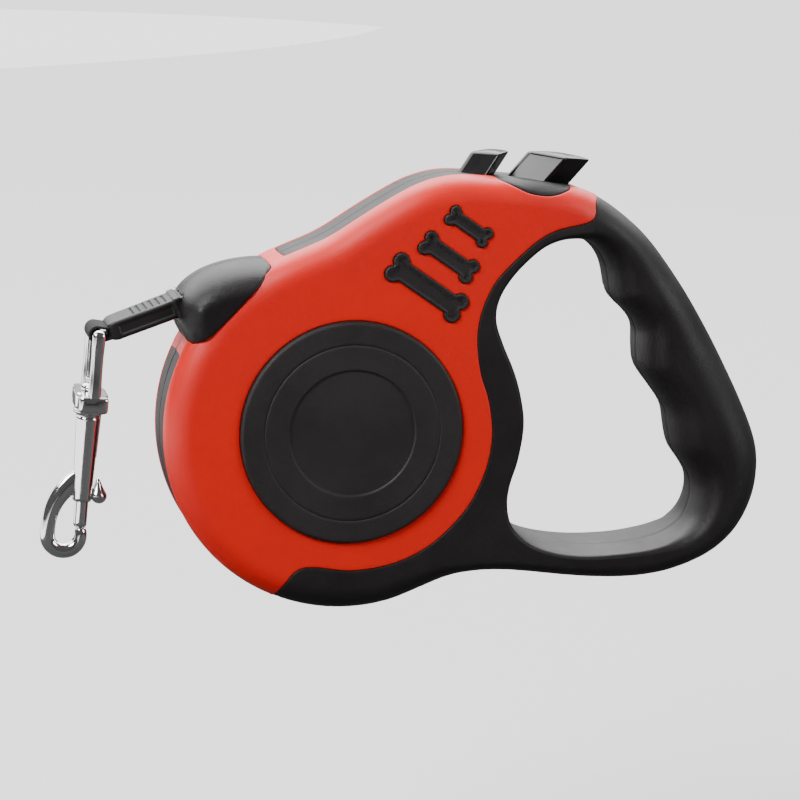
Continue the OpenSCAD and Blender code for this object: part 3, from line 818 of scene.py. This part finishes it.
def make_webbing():
    """The strand inside the sleeve, and the loop round the eye's bar."""
    inside = [tape_point(a, 0) for a in np.linspace(0, MOUTH + SLEEVE_LEN - 1, 60)]
    strand = strip("tape_strand", inside, WEB_HALF_W, 0.38)
    start = tape_point(MOUTH + SLEEVE_LEN - 3, 0.75)
    back = tape_point(MOUTH + SLEEVE_LEN - 3, -0.75)
    r = LOOP_R + 0.42
    c, s = math.cos(math.radians(TAPE_SLOPE)), math.sin(math.radians(TAPE_SLOPE))
    along_dir, up = np.array([-c, -s]), np.array([-s, c])
    arc = [LOOP_CENTRE + r * (math.cos(t) * up + math.sin(t) * along_dir)
           for t in np.linspace(-0.25, math.pi + 0.25, 40)]
    turns = np.array([start, (start + arc[0]) / 2] + arc + [(back + arc[-1]) / 2, back])
    path = even(spline(turns, False, 0.3), 0.3, False)
    loop = strip("tape_loop", path, WEB_HALF_W, 0.4)
    return strand, loop


# ---- swivel eye and snap, drawn hanging from the eye's bar with z = 0 there ----

TILT = math.radians(6)


def hang(p):
    x, y, z = p
    return (LOOP_CENTRE[0] + x * math.cos(TILT) + z * math.sin(TILT), y,
            LOOP_CENTRE[1] - x * math.sin(TILT) + z * math.cos(TILT))


YOKE_TOP, YOKE_H = -16.2, 4.8
EYE_HALF_W, BAR_R = 8.6, 1.4
BARREL_TOP = YOKE_TOP - YOKE_H - 1.5
BARREL_LEN = 24.6
BARREL_R, BARREL_FOOT_R = 3.4, 2.6
BARREL_WALL = 0.0007  # metres, for the modifier
SLOT_HALF_TURN = 0.44
BOLT_R = 1.82
KNOB_Z, KNOB_X = BARREL_TOP - 21.7, 4.3
HOOK_X, HOOK_R = -8.65, 4.5
HOOK_LOW = BARREL_TOP - 34.5


def make_eye():
    """The swivel eye: a bar through the webbing, two tapering posts and the yoke that turns on the snap."""
    parts = []
    e = EYE_HALF_W
    bar = [(BAR_R * math.sin(t), -e - BAR_R * math.cos(t)) for t in np.linspace(0.02, math.pi / 2, 6)]
    bar += [(BAR_R, y) for y in np.linspace(0.5 - e, e - 0.5, 16)]
    bar += [(BAR_R * math.cos(t), e + BAR_R * math.sin(t)) for t in np.linspace(0, math.pi / 2 - 0.02, 6)]
    parts.append(lathe("swivel_eye", bar, lambda p: hang((p[0], p[2], p[1])), 32, closed_ends=True))
    for side in (1, -1):
        rings = []
        heights = np.concatenate([1.75 * np.sin(np.linspace(math.pi / 2 - 0.05, 0, 12)),
                                  np.linspace(-0.6, YOKE_TOP - YOKE_H * 0.85, 22)])
        for z in heights:
            head = math.sqrt(max(0.003, 1 - (max(z, 0) / 1.76) ** 2))
            slim = ramp(-z, 1.5, 6) * (1 - ramp(-z, 9, 15))
            w, h = (1.72 - 0.12 * slim) * head, (1.6 - 0.2 * slim) * head
            rings.append([(x, side * e + y, z) for x, y in rounded_rect(w, h, min(w, h) * 0.62, 3)])
        parts.append(loft("post", rings, True, True, hang))
    rings = []
    width = e + 1.7
    spans = [-width + np.array([0, 0.12, 0.4, 0.8]), np.linspace(1.2 - width, width - 1.2, 25),
             width - np.array([0.8, 0.4, 0.12, 0])]
    for y in np.concatenate(spans):
        edge = width - abs(y)
        ends = 0.72 + 0.28 * math.sqrt(max(0, 1 - (1 - min(edge / 0.9, 1)) ** 2))
        middle = 1 - ramp(abs(y), 3.2, 6.5)
        w, h = (3.9 + 0.5 * middle) * ends, (YOKE_H / 2) * (0.94 + 0.06 * middle) * ends
        section = rounded_rect(w, h, 0.9, 5)
        rings.append([(x, y, YOKE_TOP - YOKE_H / 2 + z) for x, z in section])
    parts.append(loft("yoke", rings, True, True, hang))
    return joined(parts, "swivel_eye")


def make_snap():
    """The snap: the swivel stud, washer, barrel with a slot for the knob, and the forged hook."""
    t, b = BARREL_TOP, BARREL_TOP - BARREL_LEN
    parts = []
    stud = [(0.01, t + 8.4), (1.6, t + 8.3), (2.4, t + 8.0), (2.75, t + 7.5), (2.8, t + 7.1), (2.8, t + 6.6),
            (2.5, t + 6.5), (1.65, t + 6.4), (1.65, t + 1.5), (3.9, t + 1.3), (4.25, t + 1.15), (4.35, t + 0.85),
            (4.35, t + 0.45), (4.2, t + 0.12), (3.7, t - 0.02), (BARREL_R, t - 0.3),
            (BARREL_R, t - 0.7)]
    parts.append(lathe("snap_body", stud, hang, 64))
    slot_top, slot_low = t - 12, t - 23
    angles = np.linspace(0, 2 * math.pi, 96, endpoint=False)
    heights = np.concatenate([np.linspace(t - 0.7, slot_top + 0.6, 12), np.linspace(slot_top, slot_low, 24),
                              [slot_low - 0.6, b + 0.45, b + 0.12, b]])
    verts, faces = [], []
    for z in heights:
        r = BARREL_R + (BARREL_FOOT_R - BARREL_R) * (t - z) / BARREL_LEN
        r -= 0.28 * (1 - ramp(z, b, b + 0.45))
        verts += [(r * math.cos(a), r * math.sin(a), z) for a in angles]
    n = len(angles)
    for i in range(len(heights) - 1):
        middle = (heights[i] + heights[i + 1]) / 2
        for j in range(n):
            a = (angles[j] + math.pi / n + math.pi) % (2 * math.pi) - math.pi
            if slot_low < middle < slot_top and abs(a) < SLOT_HALF_TURN:
                continue
            k = (j + 1) % n
            faces.append([i * n + j, i * n + k, (i + 1) * n + k, (i + 1) * n + j])
    barrel = mesh_piece("barrel", [hang(v) for v in verts], faces)
    thick = barrel.modifiers.new("wall", "SOLIDIFY")
    thick.thickness = BARREL_WALL
    thick.offset = -1
    apply_modifiers(barrel)
    parts.append(barrel)
    cx = HOOK_X + HOOK_R
    pts = [(-1.2, t - 18.6), (-2.8, t - 19.7), (-4.6, t - 21.4), (-6.4, t - 24), (-7.7, t - 26.9),
           (-8.4, t - 29.8), (HOOK_X, t - 32.4)]
    pts += [(cx - HOOK_R * math.cos(u), HOOK_LOW - HOOK_R * math.sin(u))
            for u in np.radians(range(0, 181, 20))]
    pts += [(cx + HOOK_R, HOOK_LOW + 1.1), (cx + HOOK_R, HOOK_LOW + 2.3)]
    path = spline(pts, False, 0.4)
    share = np.linspace(0, 1, len(path))
    radii = np.interp(share, [0, 0.08, 0.2, 0.4, 0.6, 0.8, 0.95, 0.985, 1.0],
                      [2.9, 2.8, 2.35, 2.0, 2.05, 2.05, 1.8, 1.65, 1.1])
    across = np.interp(share, [0, 0.2, 0.4, 0.95, 0.985, 1.0], [1.3, 1.7, 1.8, 1.75, 1.6, 1.05])
    radii, across = softened(radii, 1.5, False), softened(across, 1.5, False)
    parts.append(tube("hook", path, radii, across, hang, 28))
    return joined(parts, "snap_body")


def make_bolt():
    """The sliding bolt with its teardrop thumb knob."""
    top, low = BARREL_TOP - 12, HOOK_LOW + 2.6
    rod = [(0.01, top), (1.5, top), (BOLT_R, top - 0.3)]
    rod += [(BOLT_R, z) for z in np.linspace(top - 1, low + 0.5, 20)]
    rod += [(1.65, low + 0.2), (1.4, low), (0.01, low)]
    parts = [lathe("snap_bolt", rod, hang, 48)]
    neck = [(1.1, 1.0), (1.05, 2.2), (1.1, 3.0), (1.5, 3.8)]
    parts.append(lathe("neck", neck, lambda p: hang((p[2], p[0], KNOB_Z + p[1])), 32))
    drop = []
    for u in np.linspace(0, math.pi, 40):
        z = math.cos(u)
        r = 2.35 * math.sin(u) * (1 - 0.42 * ramp(z, -0.2, 1))
        drop.append((max(r, 0.01), (2.6 + 1.9 * max(z, 0) ** 1.6) * z - 0.9))
    parts.append(lathe("knob", drop, lambda p: hang((KNOB_X + p[0] - 0.10 * p[2], p[1], KNOB_Z + p[2])),
                       48))
    return joined(parts, "snap_bolt")


def apply_modifiers(ob):
    bpy.context.view_layer.update()
    graph = bpy.context.evaluated_depsgraph_get()
    me = bpy.data.meshes.new_from_object(ob.evaluated_get(graph))
    ob.modifiers.clear()
    ob.data = me
    me.shade_smooth()


# ---- materials ----


def material(name, build, **sockets):
    m = bpy.data.materials.new(name)
    m.use_nodes = True
    nodes, links = m.node_tree.nodes, m.node_tree.links
    shader = nodes["Principled BSDF"]
    for key, value in sockets.items():
        shader.inputs[key.replace("_", " ")].default_value = value
    if build:
        build(nodes, links, shader)
    return m


def noise(nodes, links, scale, detail, rough):
    t = nodes.new("ShaderNodeTexNoise")
    t.inputs["Scale"].default_value = scale
    t.inputs["Detail"].default_value = detail
    t.inputs["Roughness"].default_value = rough
    c = nodes.new("ShaderNodeTexCoord")
    links.new(c.outputs["Object"], t.inputs["Vector"])
    return t


def mapped(nodes, links, socket, lo, hi, a=0.35, b=0.65):
    r = nodes.new("ShaderNodeMapRange")
    r.inputs["From Min"].default_value = a
    r.inputs["From Max"].default_value = b
    r.inputs["To Min"].default_value = lo
    r.inputs["To Max"].default_value = hi
    links.new(socket, r.inputs["Value"])
    return r.outputs["Result"]


def bumped(nodes, links, shader, socket, distance, strength=1.0):
    b = nodes.new("ShaderNodeBump")
    b.inputs["Distance"].default_value = distance
    b.inputs["Strength"].default_value = strength
    links.new(socket, b.inputs["Height"])
    links.new(b.outputs["Normal"], shader.inputs["Normal"])
    return b


def moulded(name, colour, tint, rough, grain_scale, grain_depth, **extra):
    """Moulded plastic: a fine spark-eroded grain, cloudy gloss and a slight mottle of the colour."""
    def build(nodes, links, shader):
        grain = noise(nodes, links, grain_scale, 3.0, 0.6)
        cloud = noise(nodes, links, 45, 5.0, 0.6)
        mix = nodes.new("ShaderNodeMix")
        mix.data_type = "RGBA"
        mix.inputs["A"].default_value = (*colour, 1)
        mix.inputs["B"].default_value = (*tint, 1)
        links.new(mapped(nodes, links, cloud.outputs["Fac"], 0, 1), mix.inputs["Factor"])
        links.new(mix.outputs["Result"], shader.inputs["Base Color"])
        links.new(mapped(nodes, links, cloud.outputs["Fac"], rough[0], rough[1]), shader.inputs["Roughness"])
        bumped(nodes, links, shader, grain.outputs["Fac"], grain_depth)
    return material(name, build, **extra)


def chrome(name):
    def build(nodes, links, shader):
        smear = noise(nodes, links, 160, 6.0, 0.6)
        links.new(mapped(nodes, links, smear.outputs["Fac"], 0.05, 0.16), shader.inputs["Roughness"])
        wave = noise(nodes, links, 300, 2.0, 0.5)
        bumped(nodes, links, shader, wave.outputs["Fac"], 0.00003)
    return material(name, build, Base_Color=(0.80, 0.80, 0.81, 1), Metallic=1.0)


def woven(name):
    def build(nodes, links, shader):
        c = nodes.new("ShaderNodeTexCoord")
        w = nodes.new("ShaderNodeTexWave")
        w.inputs["Scale"].default_value = 900
        w.bands_direction = "DIAGONAL"
        links.new(c.outputs["Object"], w.inputs["Vector"])
        fuzz = noise(nodes, links, 2500, 4.0, 0.7)
        add = nodes.new("ShaderNodeMath")
        links.new(w.outputs["Fac"], add.inputs[0])
        links.new(fuzz.outputs["Fac"], add.inputs[1])
        bumped(nodes, links, shader, add.outputs["Value"], 0.0002)
        mix = nodes.new("ShaderNodeMix")
        mix.data_type = "RGBA"
        mix.inputs["A"].default_value = (0.006, 0.0055, 0.0055, 1)
        mix.inputs["B"].default_value = (0.022, 0.02, 0.02, 1)
        links.new(w.outputs["Fac"], mix.inputs["Factor"])
        links.new(mix.outputs["Result"], shader.inputs["Base Color"])
    return material(name, build, Roughness=0.7, Specular_IOR_Level=0.3)


RED = moulded("red_panel", (0.86, 0.012, 0.006), (0.80, 0.010, 0.005), (0.34, 0.44), 2600, 0.00006)
BLACK = moulded("black_casing", (0.010, 0.008, 0.008), (0.013, 0.011, 0.011), (0.46, 0.58), 2600, 0.00007,
                Specular_IOR_Level=0.38)
CAP = moulded("charcoal_cap", (0.015, 0.012, 0.012), (0.019, 0.016, 0.016), (0.5, 0.62), 2200, 0.00012)
POD = moulded("textured_nozzle", (0.009, 0.008, 0.008), (0.012, 0.010, 0.010), (0.34, 0.46), 2200, 0.00009,
              Specular_IOR_Level=0.34)
GLOSS = moulded("gloss_button", (0.006, 0.006, 0.006), (0.008, 0.008, 0.008), (0.16, 0.24), 900, 0.00001,
                Specular_IOR_Level=0.3)
SLEEVE = moulded("sleeve_plastic", (0.012, 0.011, 0.011), (0.016, 0.014, 0.014), (0.34, 0.44), 2500, 0.00005,
                 Specular_IOR_Level=0.4)
ACETAL = moulded("acetal", (0.06, 0.055, 0.055), (0.075, 0.07, 0.07), (0.38, 0.5), 1800, 0.00004)
STEEL = moulded("plated_steel", (0.50, 0.50, 0.52), (0.58, 0.58, 0.60), (0.22, 0.4), 1500, 0.00003,
                Metallic=1.0)
CHROME = chrome("snap_chrome")
WEAVE = woven("webbing")


def finish_piece(ob, body, look):
    """The detailed piece takes the place of the CAD node that it is named after."""
    node = ob.name.split(".")[0]
    ob.name = ob.data.name = node + "_piece"
    ob.data.materials.clear()
    ob.data.materials.append(look)
    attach(ob, body)
    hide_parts(node)


def dressed(node, look):
    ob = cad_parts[node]
    ob.data.materials.clear()
    ob.data.materials.append(look)


for ob in make_housings():
    finish_piece(ob, "housing", BLACK)
for ob in make_panels():
    finish_piece(ob, "housing", RED)
for ob in make_bones():
    finish_piece(ob, "housing", CAP)
for ob in make_nozzles():
    finish_piece(ob, "housing", POD)
for ob in make_caps():
    finish_piece(ob, "housing", CAP)
brake, lock = make_buttons()
finish_piece(brake, "brake", GLOSS)
finish_piece(lock, "lock", GLOSS)
finish_piece(make_sleeve(), "tape", SLEEVE)
strand, loop = make_webbing()
finish_piece(strand, "tape", WEAVE)
finish_piece(loop, "tape", WEAVE)
finish_piece(make_eye(), "eye", CHROME)
finish_piece(make_snap(), "snap", CHROME)
finish_piece(make_bolt(), "bolt", CHROME)
for node, look, slot in (
        ("reel", ACETAL, "acetal"), ("spring_cover", ACETAL, "acetal"), ("brake_pawl", ACETAL, "acetal"),
        ("reel_axle", STEEL, "screw_steel"), ("main_spring", STEEL, "spring_steel"),
        ("brake_spring", STEEL, "spring_steel"), ("bolt_spring", STEEL, "spring_steel"),
        ("housing_screws", STEEL, "screw_steel"), ("tape_winding", WEAVE, "webbing")):
    dressed(node, look)


# ---- stage: floor, lights and camera ----


# in metres: the floor's corners, how far the floor and the flag lie under the object, and the camera
FLOOR_NEAR, FLOOR_FAR = (-16, -12), (16, 20)
FLOOR_DROP, FLAG_DROP = 0.13, 0.125
FLAG_NEAR = (-0.62, -12)
CAMERA_AT, CAMERA_AIM = (-0.238807, -0.668263, 0.140114), (-0.085141, 0, -0.000641)


def sheet(name, lo, hi, z, look):
    corners = [(lo[0], lo[1], z), (hi[0], lo[1], z), (hi[0], hi[1], z), (lo[0], hi[1], z)]
    me = bpy.data.meshes.new(name)
    me.from_pydata(corners, [], [(0, 1, 2, 3)])
    me.materials.append(look)
    ob = bpy.data.objects.new(name, me)
    bpy.context.collection.objects.link(ob)
    return ob


def make_stage():
    low = CAD_BOX[0][2]
    floor = material("floor", None, Base_Color=(0.92, 0.92, 0.92, 1), Roughness=0.9, Specular_IOR_Level=0.0)
    sheet("floor", FLOOR_NEAR, FLOOR_FAR, low - FLOOR_DROP, floor)
    # a black card over the floor, as a studio flag: it keeps the pale floor out of the dark plastics and
    # leaves it on the nozzle's side, for the chrome
    black = material("flag", None, Base_Color=(0.02, 0.02, 0.02, 1), Roughness=0.9)
    flag = sheet("flag", FLAG_NEAR, FLOOR_FAR, low - FLAG_DROP, black)
    flag.visible_camera = flag.visible_shadow = False
    world = bpy.data.worlds.new("studio")
    bpy.context.scene.world = world
    world.use_nodes = True
    back = world.node_tree.nodes["Background"]
    back.inputs["Color"].default_value = (1.0, 1.0, 1.0, 1)
    back.inputs["Strength"].default_value = 0.09


def aimed(at, aim):
    """The rotation that points a light or the camera from one place at another."""
    return (Vector(aim) - Vector(at)).to_track_quat("-Z", "Y").to_euler()


def area(name, at, aim, size, power, size_y=None):
    light = bpy.data.lights.new(name, "AREA")
    light.shape = "RECTANGLE"
    light.size, light.size_y = size, size_y or size
    light.energy = power
    ob = bpy.data.objects.new(name, light)
    ob.location = at
    ob.rotation_euler = aimed(at, aim)
    bpy.context.collection.objects.link(ob)


def make_camera():
    cam = bpy.data.cameras.new("camera")
    cam.sensor_width = 36
    cam.lens = 112.5
    ob = bpy.data.objects.new("camera", cam)
    ob.location = CAMERA_AT
    ob.rotation_euler = aimed(CAMERA_AT, CAMERA_AIM)
    bpy.context.collection.objects.link(ob)
    bpy.context.scene.camera = ob


make_stage()
make_camera()
middle = Vector([(a + b) / 2 for a, b in zip(*CAD_BOX)])
area("key", middle + Vector((-1.1, -0.9, 1.2)), middle, 0.8, 36)
area("fill", middle + Vector((1.3, -0.8, 0.5)), middle, 0.7, 11)
area("top", middle + Vector((0.1, 0.5, 1.3)), middle, 1.0, 16)
area("backdrop", (0, 5.2, 3.6), (0, 5.2, -0.2), 13, 2000, 9)
area("rear", (0, 7.5, 1.7), (0, 0, 0), 8, 55, 3)

bpy.context.view_layer.update()
